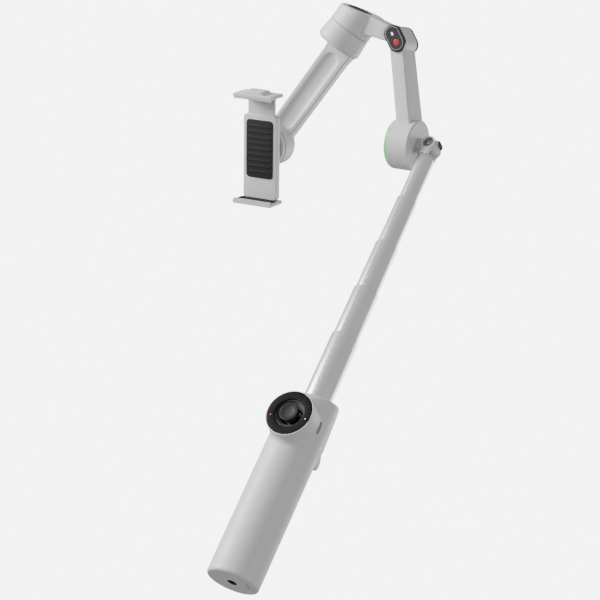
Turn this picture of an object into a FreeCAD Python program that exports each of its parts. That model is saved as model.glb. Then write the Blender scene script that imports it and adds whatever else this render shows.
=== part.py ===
import FreeCAD, Part
import math
import os

# Hand-held phone gimbal with a five-section telescopic stick. Millimetres.
# Frame: origin at the centre of the handle's bottom face, +Z up the handle,
# -Y is the front with the joystick, +X is the side with the charging port.

V = FreeCAD.Vector
X_AXIS, Y_AXIS, Z_AXIS = V(1, 0, 0), V(0, 1, 0), V(0, 0, 1)

# ---------------------------------------------------------------- handle
HANDLE_H, TOP_SLOPE = 150.8, 11.7
HANDLE_RX, HANDLE_RY = 20.0, 18.5
HANDLE_WALL = 1.8
BASE_H = 9.0
TOP_EDGE, BOTTOM_EDGE = 3.5, 2.0
# rear block round the trigger, as points of its side outline
BLOCK_HALF = 12.6
BLOCK_OUTLINE = [(6.0, 101.0), (19.2, 106.0), (22.8, 121.8), (19.0, 165.0), (6.0, 165.0)]
WINDOW_HALF, WINDOW_Z0, WINDOW_Z1 = 10.9, 106.6, 122.6
POD_Z = 125.3
POD_R, POD_FACE_Y = 18.3, -24.5
RING_OUT, RING_IN, RING_T = 17.5, 10.9, 2.4
THREAD_R, THREAD_DEPTH = 3.175, 8.0

# joystick, centred on the pod
STICK_PIVOT_Y = -15.0
CAP_R = 7.2

# trigger
TRIGGER_HALF = 10.5
PIN_Y, PIN_Z, PIN_R = 18.3, 118.5, 1.2
SPRING_Z, SPRING_Y0, SPRING_Y1 = 109.6, 15.57, 19.93

# charging port
PORT_X, PORT_Y, PORT_Z = 9.6, -8.8, 125.7

# ---------------------------------------------------------------- stick
STICK_Y = 4.0
TUBE_R = [10.6, 9.7, 8.8, 7.9, 7.0]
TUBE_TOP = [206.9, 248.4, 289.9, 331.4, 371.0]
TUBE_LENGTH = [65.0, 58.5, 57.0, 56.0, 54.0]
TUBE_WALL = 0.5
SLIDE_GAP = 0.06
FOOT_H = 5.0
LIP_H = 3.0
SLEEVE_OUT, SLEEVE_BOTTOM = 11.3, 98.0

# ---------------------------------------------------------------- head
PIVOT = V(0, STICK_Y, 381.5)
EAR_R, EAR_T, BARREL_HALF = 5.7, 3.0, 8.0
PIVOT_PIN_R = 2.0

PAN_R, PAN_FACE_X, PAN_END_X, PAN_EDGE = 19.7, -11.0, -32.6, 4.6
LIGHT_X, LIGHT_W = -30.5, 1.3
LIGHT_MIDDLE, LIGHT_SWEEP = 228.0, 104.0

# arm frame: turned about X, then leaning over the pan motor
ARM_TURN, ARM_LEAN = 34.0, 14.7
ARM_HALF_W, ARM_HALF_D, ARM_FOOT_D = 5.8, 10.25, 12.0
ARM_START_X, ARM_LENGTH = -16.75, 83.3
TOP_ARM_RISE, TOP_ARM_LENGTH = 27.7, 42.0
TOP_ARM_HALF_H, TOP_ARM_GROWTH, TOP_FACE_LEAN = 5.7, 2.6, 3.8
COVER_R, COVER_SHIFT = 10.8, -2.4

# oval light and button module on the elbow
MODULE_R, MODULE_SPAN, MODULE_LEAN, MODULE_DROP = 7.0, 7.8, 22.0, 1.5
BEZEL_FRONT, BEZEL_BACK = -12.2, -9.65
COVER_FRONT, COVER_BACK = 9.65, 11.8

# roll motor, inclined
ROLL_R, ROLL_IN, ROLL_TWIST = 43.2, 8.3, 9.0
MOTOR_R = 17.3
UPPER_CAVITY_H, LOWER_H, LOWER_FLARE = 9.0, 17.0, 1.1
LOWER_ARM_LENGTH, CLAMP_SHIFT_X = 109.6, 5.4
LOWER_ARM_HALF_W, LOWER_ARM_HALF_T, LOWER_ARM_SIDE = 10.8, 5.0, -0.2

# clamp frame: turned about X
CLAMP_TURN = 47.15
CLAMP_BACK = 28.5
JAW_GAP_HALF = 40.8
JAW_HALF_W, JAW_T, LIP_DROP = 17.5, 3.0, 1.2
PLATE_Y0, PLATE_Y1 = 9.0, 15.0


# ---------------------------------------------------------------- helpers
def cyl(radius, start, end, axis=Z_AXIS):
    """Cylinder between two points given along an axis through the origin."""
    return Part.makeCylinder(radius, end - start, axis * start, axis)


def ring(outer, inner, start, end, axis=Z_AXIS):
    return cyl(outer, start, end, axis).cut(cyl(inner, start - 1, end + 1, axis))


def box(low, high):
    size = V(*high) - V(*low)
    return Part.makeBox(size.x, size.y, size.z, V(*low))


def moved(shape, offset):
    copy = shape.copy()
    copy.translate(V(*offset))
    return copy


def placed(shape, frame):
    copy = shape.copy()
    copy.Placement = frame.multiply(copy.Placement)
    return copy


def oval(rx, ry, z0, z1):
    """Upright elliptical prism."""
    face = Part.Face(Part.Wire(Part.Ellipse(V(0, 0, z0), rx, ry).toShape()))
    return face.extrude(V(0, 0, z1 - z0))


def rounded(shape, radius, keep):
    """Fillet of the edges that the test keeps; the plain shape where it fails."""
    edges = [e for e in shape.Edges if keep(e)]
    try:
        result = shape.makeFillet(radius, edges)
    except Part.OCCError:
        return shape
    return result if result.isValid() and result.Volume > 0 else shape


def level(z, tolerance=0.01):
    """Edge test: the whole edge lies at one height."""
    def test(edge):
        bound = edge.BoundBox
        return abs(bound.ZMin - z) < tolerance and abs(bound.ZMax - z) < tolerance
    return test


def along(direction):
    """Edge test: a straight edge that runs along a direction."""
    def test(edge):
        if edge.Curve.TypeId != "Part::GeomLine":
            return False
        return abs(abs(edge.tangentAt(edge.FirstParameter).dot(direction)) - 1) < 1e-6
    return test


def pill(radius, span, y0, y1):
    """Stadium outline in XZ, long along Z, pushed out along Y."""
    half = span / 2
    a, b = V(-radius, y0, -half), V(-radius, y0, half)
    c, d = V(radius, y0, half), V(radius, y0, -half)
    top = Part.Arc(b, V(0, y0, half + radius), c).toShape()
    bottom = Part.Arc(d, V(0, y0, -half - radius), a).toShape()
    sides = [Part.LineSegment(a, b).toShape(), Part.LineSegment(c, d).toShape()]
    wire = Part.Wire([sides[0], top, sides[1], bottom])
    return Part.Face(wire).extrude(V(0, y1 - y0, 0))


def coil(radius, wire, pitch, height):
    """Helical spring along Z, starting at z = 0."""
    path = Part.makeHelix(pitch, height, radius)
    section = Part.Wire(Part.Circle(V(radius, 0, 0), Y_AXIS, wire).toShape())
    return Part.Wire(path).makePipeShell([section], True, True)


def save(name, shape):
    shape.exportStep("parts/" + name + ".step")


os.makedirs("parts", exist_ok=True)

# ---------------------------------------------------------------- frames
ARM = FreeCAD.Placement(
    V(ARM_START_X, PIVOT.y, PIVOT.z),
    FreeCAD.Rotation(X_AXIS, ARM_TURN).multiply(FreeCAD.Rotation(Y_AXIS, -ARM_LEAN)),
)
RISE = math.radians(TOP_ARM_RISE)
ELBOW = ARM.multiply(FreeCAD.Placement(V(0, 0, ARM_LENGTH), FreeCAD.Rotation()))
# the top arm runs along its own -X
TOP = ELBOW.multiply(FreeCAD.Placement(V(), FreeCAD.Rotation(Y_AXIS, TOP_ARM_RISE)))
# flat top of the arm and the drum, rising a little towards the drum
TOP_FACE = TOP.multiply(
    FreeCAD.Placement(V(0, 0, TOP_ARM_HALF_H), FreeCAD.Rotation(Y_AXIS, TOP_FACE_LEAN))
)
MODULE = ELBOW.multiply(
    FreeCAD.Placement(V(0, 0, -MODULE_DROP), FreeCAD.Rotation(Y_AXIS, -MODULE_LEAN))
)
IN_PLANE, OUT = math.radians(ROLL_R), math.radians(ROLL_IN)
ROLL_UP = V(math.sin(IN_PLANE) * math.cos(OUT), math.sin(OUT), math.cos(IN_PLANE) * math.cos(OUT))
TOP_END = V(-math.cos(RISE), 0, math.sin(RISE)) * TOP_ARM_LENGTH
ROLL = ELBOW.multiply(
    FreeCAD.Placement(TOP_END - ROLL_UP * ROLL_TWIST, FreeCAD.Rotation(Z_AXIS, ROLL_UP))
)
ROLL_AXIS = ROLL.Rotation.multVec(Z_AXIS)
CLAMP_ROTATION = FreeCAD.Rotation(X_AXIS, CLAMP_TURN)
REAR = CLAMP_ROTATION.multVec(Y_AXIS)
CLAMP_MOTOR = ROLL.Base - ROLL_AXIS * LOWER_ARM_LENGTH + X_AXIS * CLAMP_SHIFT_X
CLAMP = FreeCAD.Placement(CLAMP_MOTOR - REAR * CLAMP_BACK, CLAMP_ROTATION)
across = REAR - ROLL_AXIS * REAR.dot(ROLL_AXIS)
across.normalize()
SIDE = across.cross(ROLL_AXIS)
BAR = FreeCAD.Placement(CLAMP_MOTOR, FreeCAD.Rotation(SIDE, across, ROLL_AXIS, "ZYX"))
PAN = FreeCAD.Placement(V(0, PIVOT.y, PIVOT.z), FreeCAD.Rotation())
STICK = FreeCAD.Placement(V(0, STICK_Y, 0), FreeCAD.Rotation())
POD = FreeCAD.Placement(V(0, 0, POD_Z), FreeCAD.Rotation())
HANDLE_TOP = FreeCAD.Placement(V(0, 0, HANDLE_H), FreeCAD.Rotation(X_AXIS, TOP_SLOPE))


# ---------------------------------------------------------------- handle parts
def above_top(drop):
    """Everything above the handle's sloping top face, lowered by a wall."""
    return placed(box((-60, -60, -drop), (60, 60, 60)), HANDLE_TOP)


def on_top(edge):
    """Edge test: the whole edge lies in the handle's sloping top face."""
    frame = HANDLE_TOP.inverse()
    ends = [edge.valueAt(edge.FirstParameter), edge.valueAt(edge.LastParameter), edge.CenterOfMass]
    return all(abs(frame.multVec(point).z) < 0.01 for point in ends)


def side_prism(outline, half):
    """Outline of (y, z) points pushed out to both sides along X."""
    points = [V(-half, y, z) for y, z in outline]
    return Part.Face(Part.makePolygon(points + points[:1])).extrude(V(2 * half, 0, 0))


def handle_body():
    """Oval tube, closed at the top, with the joystick pod and the rear block."""
    body = oval(HANDLE_RX, HANDLE_RY, BASE_H, HANDLE_H + 10)
    block = side_prism(BLOCK_OUTLINE, BLOCK_HALF)
    block = rounded(block, 2.5, lambda e: abs(e.CenterOfMass.x) > BLOCK_HALF - 0.1
                    and e.CenterOfMass.y > 19.5 and e.Length > 10)
    pod = Part.makeCone(POD_R, POD_R + 0.6, 14, V(0, POD_FACE_Y, POD_Z), Y_AXIS)
    pod = rounded(pod, 0.5, lambda e: abs(e.BoundBox.YMax - POD_FACE_Y) < 0.01)
    body = body.fuse([block, pod]).removeSplitter().cut(above_top(0))
    body = rounded(body, TOP_EDGE, on_top)
    inside = oval(HANDLE_RX - HANDLE_WALL, HANDLE_RY - HANDLE_WALL, BASE_H - 1, HANDLE_H + 10)
    inside = inside.cut(above_top(2.5))
    cup = placed(cyl(RING_OUT + 0.1, POD_FACE_Y - 1, POD_FACE_Y + RING_T + 0.1, Y_AXIS), POD)
    well = placed(cyl(11.6, POD_FACE_Y - 1, -8, Y_AXIS), POD)
    window = box((-WINDOW_HALF, 12.0, WINDOW_Z0), (WINDOW_HALF, 32, WINDOW_Z1))
    port = moved(port_slot(5.0, 1.75, 12), (PORT_X + 3, PORT_Y, PORT_Z))
    hole = placed(cyl(SLEEVE_OUT, HANDLE_H - 8, HANDLE_H + 12), STICK)
    pin = cyl_x(PIN_R, 12.3, PIN_Y, PIN_Z)
    return body.cut([inside, cup, well, window, port, hole, pin])


def battery_carrier():
    """Three oval ribs on a back plate that hold the cell and the board."""
    rx, ry = HANDLE_RX - HANDLE_WALL - 0.05, HANDLE_RY - HANDLE_WALL - 0.05
    ribs = [oval(rx, ry, z, z + 2.5) for z in (19.5, 52, 87)]
    spine = box((-7, 9.6, 19.5), (7, 12.0, 89.5))
    board_seat = box((-9, -8.8, 89), (9, -7.6, 96))
    body = ribs[0].fuse([ribs[1], ribs[2], spine, board_seat])
    return body.cut(cyl(9.2, 22, 87))


def trigger_spring():
    spring = coil(1.2, 0.22, 1.1, SPRING_Y1 - SPRING_Y0)
    laid = FreeCAD.Placement(V(0, SPRING_Y0, SPRING_Z), FreeCAD.Rotation(Z_AXIS, Y_AXIS))
    return placed(spring, laid)


def cyl_x(radius, half, y, z):
    return Part.makeCylinder(radius, 2 * half, V(-half, y, z), X_AXIS)


def port_slot(half_z, half_y, depth):
    """Rounded slot pushed out along X, centred on the origin."""
    slot = box((0, -half_y, -half_z), (depth, half_y, half_z))
    return rounded(slot, half_y - 0.05, along(X_AXIS))


def base_cap():
    cap = rounded(oval(HANDLE_RX, HANDLE_RY, 0, BASE_H - 0.15), BOTTOM_EDGE, level(0))
    plug = oval(HANDLE_RX - HANDLE_WALL - 0.1, HANDLE_RY - HANDLE_WALL - 0.1, BASE_H - 1, BASE_H + 5)
    hollow = oval(HANDLE_RX - 5, HANDLE_RY - 5, BASE_H, BASE_H + 6)
    slot = rounded(box((12.2, -4, -1), (13.6, 4, 1.6)), 0.65, along(Z_AXIS))
    return cap.fuse(plug).cut([hollow, cyl(5.0, -1, THREAD_DEPTH + 0.5), slot])


def trigger():
    """Wide finger lever, hinged at its top and standing out at its foot."""
    corners = [(27.2, 109.2), (25.6, 107.2), (20.2, 107.6), (20.2, 111.4), (16.6, 115.0), (16.6, 121.9),
               (22.4, 121.9)]
    points = [V(0, y, z) for y, z in corners]
    outline = [Part.makeLine(start, end) for start, end in zip(points, points[1:])]
    outline.append(Part.Arc(points[-1], V(0, 28.0, 115.6), points[0]).toShape())
    lever = Part.Face(Part.Wire(outline)).extrude(V(2 * TRIGGER_HALF, 0, 0))
    lever = moved(lever, (-TRIGGER_HALF, 0, 0))
    lever = rounded(lever, 1.2, lambda e: abs(abs(e.CenterOfMass.x) - TRIGGER_HALF) < 0.01
                    and e.CenterOfMass.y > 24)
    return lever.cut(cyl_x(PIN_R + 0.05, 12, PIN_Y, PIN_Z))


def joystick_base():
    body = ring(9.0, 7.6, -19.5, -11.5, Y_AXIS).fuse(cyl(9.0, -11.5, -9.5, Y_AXIS))
    return placed(body.cut(moved(cyl_x(0.9, 8.4, 0, 0), (0, STICK_PIVOT_Y, 0))), POD)


def joystick_yoke():
    frame = ring(6.4, 4.4, STICK_PIVOT_Y - 1.2, STICK_PIVOT_Y + 1.2, Y_AXIS)
    pins = moved(cyl_x(0.85, 8.2, 0, 0), (0, STICK_PIVOT_Y, 0))
    pins = pins.cut(cyl(4.4, -20, -10, Y_AXIS))
    holes = moved(cyl(0.9, -7, 7), (0, STICK_PIVOT_Y, 0))
    return placed(frame.fuse(pins).cut(holes), POD)


def joystick():
    front = POD_FACE_Y - 1.8
    cap = cyl(CAP_R, front, front + 2.8, Y_AXIS)
    cap = rounded(cap, 0.8, lambda e: abs(e.BoundBox.YMax - front) < 0.01)
    dish = Part.makeSphere(14, V(0, front - 13.2, 0))
    stem = cyl(2.4, front + 2.0, STICK_PIVOT_Y + 2.0, Y_AXIS)
    cross = moved(cyl(0.85, -6.3, 6.3), (0, STICK_PIVOT_Y, 0))
    return placed(cap.cut(dish).fuse([stem, cross]), POD)


def dish_ring():
    """Conical funnel between the touch ring and the joystick."""
    outer = Part.makeCone(RING_IN - 0.1, 9.6, 3.2, V(0, POD_FACE_Y + 0.1, 0), Y_AXIS)
    inner = Part.makeCone(RING_IN - 0.9, 8.9, 3.4, V(0, POD_FACE_Y, 0), Y_AXIS)
    flange = ring(11.5, 8.9, POD_FACE_Y + 3.3, POD_FACE_Y + 4.9, Y_AXIS)
    return placed(outer.cut(inner).fuse(flange), POD)


def usb_port():
    shell = port_slot(4.9, 1.65, 7).cut(moved(port_slot(4.5, 1.25, 6), (1.2, 0, 0)))
    tongue = box((0.6, -0.35, -3.4), (5.8, 0.35, 3.4))
    return moved(shell.fuse(tongue), (PORT_X, PORT_Y, PORT_Z))


save("handle_shell", handle_body())
save("base_cap", base_cap())
save("tripod_insert", ring(5.0, THREAD_R, 0, THREAD_DEPTH))
save("touch_ring", placed(rounded(
    ring(RING_OUT, RING_IN, POD_FACE_Y, POD_FACE_Y + RING_T, Y_AXIS), 0.5,
    lambda e: abs(e.BoundBox.YMax - POD_FACE_Y) < 0.01), POD))
save("joystick_funnel", dish_ring())
save("joystick_base", joystick_base())
save("joystick_yoke", joystick_yoke())
save("joystick_cap", joystick())
save("trigger", trigger())
save("trigger_pin", cyl_x(PIN_R, 12.2, PIN_Y, PIN_Z))
save("usb_port", usb_port())
save("trigger_spring", trigger_spring())
save("battery_cell", cyl(9.2, 22, 87))
save("battery_carrier", battery_carrier())
save("main_board", box((-9, -10.2, 92), (9, -8.8, 112)))
sleeve = ring(SLEEVE_OUT, TUBE_R[0] + SLIDE_GAP, SLEEVE_BOTTOM, HANDLE_H + 10)
save("stick_sleeve", placed(sleeve, STICK).cut(above_top(0.4)))


# ---------------------------------------------------------------- telescopic stick
def tube(index):
    """Thin tube with an inner lip that guides the next one, and a front crease."""
    radius, top = TUBE_R[index], TUBE_TOP[index]
    bottom = top - TUBE_LENGTH[index]
    body = ring(radius, radius - TUBE_WALL, bottom, top)
    if index + 1 < len(TUBE_R):
        body = body.fuse(ring(radius - TUBE_WALL / 2, TUBE_R[index + 1] + SLIDE_GAP, top - LIP_H, top))
    else:
        body = body.fuse(cyl(radius - TUBE_WALL / 2, top - 4, top))
    body = rounded(body.removeSplitter(), 0.2, lambda e: level(top)(e) and e.Length > 6.2 * radius)
    crease = box((-0.4, -radius - 1, bottom - 1), (0.4, -radius + 0.28, top + 1))
    return placed(body.cut(crease), STICK)


def foot(index):
    """Guide bush round the foot of a tube, sliding inside the tube below it."""
    bottom = TUBE_TOP[index] - TUBE_LENGTH[index]
    around = TUBE_R[index - 1] - TUBE_WALL - SLIDE_GAP
    return placed(ring(around, TUBE_R[index], bottom, bottom + FOOT_H), STICK)


for number in range(len(TUBE_R)):
    save("tube_%d" % (number + 1), tube(number))
for number in range(1, len(TUBE_R)):
    save("foot_bush_%d" % (number + 1), foot(number))


# ---------------------------------------------------------------- knuckle
def stick_yoke():
    """Collar on the last tube with two ears round the hinge pin."""
    top = TUBE_TOP[-1]
    collar = rounded(cyl(TUBE_R[-1] + 0.5, top, top + 0.9), 0.3, level(top + 0.9))
    lift = PIVOT.z - top
    ears = [ear(-BARREL_HALF, lift), ear(BARREL_HALF - EAR_T, lift)]
    body = placed(collar, STICK).fuse([moved(e, (0, STICK_Y, 0)) for e in ears])
    return body.cut(moved(cyl(PIVOT_PIN_R, -9, 9, Y_AXIS), (0, STICK_Y, PIVOT.z)))


def ear(y0, lift):
    round_top = cyl(EAR_R, y0, y0 + EAR_T, Y_AXIS)
    y_in = max(y0, -TUBE_R[-1] + 0.6)
    leg = box((-3.4, y_in, -lift), (3.4, min(y0 + EAR_T, TUBE_R[-1] - 0.6), 0))
    return moved(round_top.fuse(leg), (0, 0, PIVOT.z))


def hinge_pin():
    shaft = cyl(PIVOT_PIN_R - 0.03, -BARREL_HALF + 0.8, BARREL_HALF - 0.8, Y_AXIS)
    return placed(shaft, PAN)


def pan_bracket():
    """Hinge lug, neck and motor plate, with the bearing hub of the pan motor."""
    half = BARREL_HALF - EAR_T - 0.1
    lug = cyl(EAR_R, -half, half, Y_AXIS)
    neck = box((PAN_FACE_X - 0.5, -half, -4.6), (0, half, 4.6))
    tail = box((0, -half, 0.4), (6.6, half, 5.2))
    plate = cyl(18.9, PAN_FACE_X - 2.5, PAN_FACE_X, X_AXIS)
    plate = rounded(plate, 0.6, lambda e: abs(e.BoundBox.XMin - PAN_FACE_X) < 0.01)
    hub = cyl(5.4, PAN_FACE_X - 15, PAN_FACE_X - 2, X_AXIS)
    body = lug.fuse([neck, tail, plate, hub])
    bore = cyl(4.0, PAN_FACE_X - 16, PAN_FACE_X - 2.4, X_AXIS)
    return placed(body.cut([bore, cyl(PIVOT_PIN_R, -9, 9, Y_AXIS)]), PAN)


save("stick_yoke", stick_yoke())
save("hinge_pin", hinge_pin())
save("pan_bracket", pan_bracket())
save("stop_pad", placed(box((6.6, -3.6, 0.9), (7.5, 3.6, 4.7)), PAN))


# ---------------------------------------------------------------- motors
def stator(radius, hub, start, height, teeth=9):
    """Core with open slots between its wound teeth, along +Z."""
    core = ring(radius, hub, start, start + height)
    slot = box((hub + 2.0, -1.5, start - 1), (radius - 1.4, 1.5, start + height + 1))
    gap = box((radius - 1.6, -0.5, start - 1), (radius + 1, 0.5, start + height + 1))
    cuts = []
    for index in range(teeth):
        turn = FreeCAD.Rotation(Z_AXIS, 360.0 * index / teeth)
        cuts.append(placed(slot.fuse(gap), FreeCAD.Placement(V(), turn)))
    return core.cut(cuts)


def bearings(outer, inner, first, second, width=2.5):
    return Part.makeCompound([ring(outer, inner, z, z + width) for z in (first, second)])


# each motor's frame has +Z from its fixed plate towards its rotor
PAN_MOTOR = FreeCAD.Placement(V(PAN_FACE_X, PIVOT.y, PIVOT.z), FreeCAD.Rotation(Z_AXIS, V(-1, 0, 0)))
ROLL_MOTOR = ROLL.multiply(
    FreeCAD.Placement(V(0, 0, UPPER_CAVITY_H), FreeCAD.Rotation(X_AXIS, 180))
)
TILT_MOTOR = CLAMP.multiply(FreeCAD.Placement(V(0, 33.8, 0), FreeCAD.Rotation(X_AXIS, 90)))

save("pan_stator", placed(stator(14.4, 5.4, 6, 6), PAN_MOTOR))
save("pan_bearings", placed(bearings(4.0, 1.5, 3, 12), PAN_MOTOR))
save("pan_magnets", placed(ring(17.4, 15.0, 5.5, 12.5), PAN_MOTOR))
save("pan_shaft", placed(cyl(1.46, 2.8, 20.5), PAN_MOTOR))
save("roll_stator", placed(stator(12.2, 4.6, 10, 6), ROLL_MOTOR))
save("roll_bearings", placed(bearings(3.4, 1.5, 4, 14), ROLL_MOTOR))
save("roll_magnets", placed(ring(15.2, 12.8, 9.8, 16.8), ROLL_MOTOR))
save("roll_shaft", placed(cyl(1.46, 4, 20.0), ROLL_MOTOR))
save("tilt_stator", placed(stator(9.8, 4.6, 2, 6), TILT_MOTOR))
save("tilt_bearings", placed(bearings(3.4, 1.5, 0.6, 7.4), TILT_MOTOR))


# ---------------------------------------------------------------- arms
def pan_arm():
    """Pan motor bell, the straight arm and the elbow barrel in one casting."""
    bar = tapered((-ARM_HALF_W, ARM_HALF_W, ARM_FOOT_D), (-ARM_HALF_W, ARM_HALF_W, ARM_HALF_D), 0, ARM_LENGTH)
    bar = rounded(bar, 1.1, lambda e: e.Length > ARM_LENGTH - 1)
    barrel = pill(MODULE_R, MODULE_SPAN, -ARM_HALF_D + 0.6, ARM_HALF_D)
    body = placed(pan_bell(), PAN).fuse([placed(bar, ARM), placed(barrel, MODULE)])
    cavity = placed(cyl(17.4, PAN_FACE_X - 20.5, PAN_FACE_X + 1, X_AXIS), PAN)
    bore = placed(cyl(19.0, PAN_FACE_X - 2.8, PAN_FACE_X + 1, X_AXIS), PAN)
    pocket = placed(pill(5.0, MODULE_SPAN, -ARM_HALF_D, -ARM_HALF_D + 4), MODULE)
    return body.cut([cavity, bore, light_guide(0.05), pocket, module_seats()])


def pan_bell():
    """Solid outside of the pan motor's turning bell."""
    bell = cyl(PAN_R, PAN_END_X, PAN_FACE_X - 0.4, X_AXIS)
    return rounded(bell, PAN_EDGE, lambda e: abs(e.BoundBox.XMax - PAN_END_X) < 0.01)


def module_seats():
    """Room for the black bezel on the front of the elbow and the cover on its back."""
    front = pill(MODULE_R + 0.27, MODULE_SPAN, -30, BEZEL_BACK)
    back = pill(MODULE_R + 0.27, MODULE_SPAN, COVER_FRONT, 30)
    return placed(front.fuse(back), MODULE)


def light_guide(extra=0.0):
    """Arc strip let into the pan motor's bell."""
    band = ring(PAN_R + 0.1, PAN_R - 1.7 - extra, LIGHT_X - extra, LIGHT_X + LIGHT_W + extra, X_AXIS)
    sweep = LIGHT_SWEEP + 40 * extra
    wedge = Part.makeCylinder(PAN_R + 5, 20, V(LIGHT_X - 8, 0, 0), X_AXIS, sweep)
    start = LIGHT_MIDDLE - sweep / 2 - wedge_zero()
    wedge.rotate(V(), X_AXIS, start)
    return placed(band.common(wedge), PAN)


def wedge_zero():
    """Angle from +Y, about +X, at which a part cylinder along X begins."""
    edge = Part.makeCylinder(1, 1, V(), X_AXIS, 90)
    centre = edge.CenterOfMass
    return math.degrees(math.atan2(centre.z, centre.y)) - 45


def upper_arm():
    """Top arm and the fixed upper half of the roll motor."""
    reach, foot = TOP_ARM_LENGTH + 2, TOP_ARM_HALF_H + TOP_ARM_GROWTH
    rise = reach * math.tan(math.radians(TOP_FACE_LEAN))
    side = [V(0, -ARM_HALF_D, -TOP_ARM_HALF_H), V(0, -ARM_HALF_D, TOP_ARM_HALF_H),
            V(-reach, -ARM_HALF_D, TOP_ARM_HALF_H + rise), V(-reach, -ARM_HALF_D, -foot)]
    bar = Part.Face(Part.makePolygon(side + side[:1])).extrude(V(0, 2 * ARM_HALF_D, 0))
    bar = rounded(bar, 1.1, lambda e: e.Length > reach - 1)
    drum = placed(cyl(MOTOR_R, 0, 24), ROLL)
    drum = drum.cut(placed(box((-100, -40, 0), (40, 40, 60)), TOP_FACE))
    below = placed(cyl(40, -40, 0), ROLL)
    body = drum.fuse(placed(bar, TOP).cut(below)).removeSplitter()
    barrel = placed(pill(MODULE_R, MODULE_SPAN, -20, 20), MODULE)
    arm = placed(box((-ARM_HALF_W, -20, -40), (ARM_HALF_W, 20, 0)), ELBOW)
    cavity = placed(cyl(15.2, -1, UPPER_CAVITY_H), ROLL)
    hub = placed(cyl(4.6, 0, 17.5).cut(cyl(3.4, 3.8, 18)), ROLL_MOTOR)
    return body.cut([barrel, arm, module_seats(), cavity, cap_disc(COVER_R + 0.1, -1.6, 1)]).fuse(hub)


def cap_disc(radius, low, high):
    """Disc parallel to the top face, set outward from where the roll axis meets that face."""
    base = TOP_FACE.inverse().multVec(ROLL.Base)
    up = TOP_FACE.inverse().Rotation.multVec(ROLL_AXIS)
    centre = base - up * (base.z / up.z)
    return placed(moved(cyl(radius, low, high), (centre.x + COVER_SHIFT, centre.y, 0)), TOP_FACE)


def motor_cap():
    return cap_disc(COVER_R, -1.6, -0.5)


def tapered(first, second, z0, z1):
    """Straight loft between two upright rectangles, each given as low x, high x, half depth."""
    wires = []
    for (x0, x1, half), z in ((first, z0), (second, z1)):
        points = [V(x0, -half, z), V(x1, -half, z), V(x1, half, z), V(x0, half, z)]
        wires.append(Part.makePolygon(points + points[:1]))
    return Part.makeLoft(wires, True, True)


def lower_arm():
    """Turning half of the roll motor, the dished arm and the clamp motor's case."""
    drum = Part.makeCone(MOTOR_R + LOWER_FLARE, MOTOR_R, LOWER_H - 0.3, V(0, 0, -LOWER_H))
    drum = rounded(drum, 4.0, level(-LOWER_H))
    case = cyl(17.0, 21, 36, Y_AXIS)
    case = rounded(case, 3.0, lambda e: abs(e.BoundBox.YMin - 36) < 0.01)
    reach = LOWER_ARM_LENGTH - LOWER_H + 4
    low_x, high_x = LOWER_ARM_SIDE - LOWER_ARM_HALF_W, LOWER_ARM_SIDE + LOWER_ARM_HALF_W
    bar = box((low_x, -LOWER_ARM_HALF_T, 0), (high_x, LOWER_ARM_HALF_T, reach))
    bar = rounded(bar, 1.5, along(Z_AXIS))
    wide = (low_x - 2.4, high_x + 2.4, LOWER_ARM_HALF_T + 2)
    root = tapered((low_x, high_x, LOWER_ARM_HALF_T), wide, reach - 14, reach)
    dish = rounded(box((low_x + 4, -20, 14), (high_x - 4, -3.8, reach - 10)), 6.5, along(Y_AXIS))
    front = placed(box((-60, -40, -60), (60, 21, 60)), CLAMP)
    body = placed(drum, ROLL).fuse([placed(bar, BAR).cut(front), placed(root, BAR), placed(case, CLAMP)])
    upper = placed(cyl(15.2, -11, 1), ROLL)
    inner = placed(cyl(15.2, 20, 33.8, Y_AXIS), CLAMP)
    hub = placed(cyl(4.6, -0.5, 10.2).cut(cyl(3.4, 0.4, 11)), TILT_MOTOR)
    body = body.cut([placed(dish, BAR), upper, inner])
    return body.fuse(hub)


save("pan_arm", pan_arm())
save("light_ring", light_guide().common(placed(pan_bell(), PAN)))
save("upper_arm", upper_arm())
save("motor_cap", motor_cap())
save("lower_arm", lower_arm())


# ---------------------------------------------------------------- elbow module

def bezel():
    body = pill(MODULE_R + 0.25, MODULE_SPAN, BEZEL_FRONT, BEZEL_BACK)
    groove = pill(5.75, MODULE_SPAN, BEZEL_FRONT - 1, BEZEL_FRONT + 0.6)
    island = pill(5.35, MODULE_SPAN, BEZEL_FRONT - 2, BEZEL_FRONT + 2)
    window = box((-1.1, -20, 2.1), (1.1, 0, 5.7))
    button = moved(cyl(3.15, -20, 0, Y_AXIS), (0, 0, -MODULE_SPAN / 2))
    return placed(body.cut([groove.cut(island), window, button]), MODULE)


def record_button():
    head = cyl(3.0, BEZEL_FRONT - 0.3, BEZEL_BACK + 0.4, Y_AXIS)
    head = rounded(head, 0.4, lambda e: abs(e.BoundBox.YMax - BEZEL_FRONT + 0.3) < 0.01)
    return placed(moved(head, (0, 0, -MODULE_SPAN / 2)), MODULE)


trim = pill(5.7, MODULE_SPAN, BEZEL_FRONT - 0.1, BEZEL_FRONT + 0.6)
trim = trim.cut(pill(5.4, MODULE_SPAN, BEZEL_FRONT - 1, BEZEL_FRONT + 1))
save("module_bezel", bezel())
save("module_trim", placed(trim, MODULE))
save("light_window", placed(box((-1.05, BEZEL_FRONT + 0.1, 2.15), (1.05, BEZEL_BACK, 5.65)), MODULE))
save("record_button", record_button())
save("module_board", placed(pill(4.6, MODULE_SPAN, -ARM_HALF_D + 2.6, -ARM_HALF_D + 3.8), MODULE))
save("module_back", placed(pill(MODULE_R + 0.25, MODULE_SPAN, COVER_FRONT, COVER_BACK), MODULE))


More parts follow.
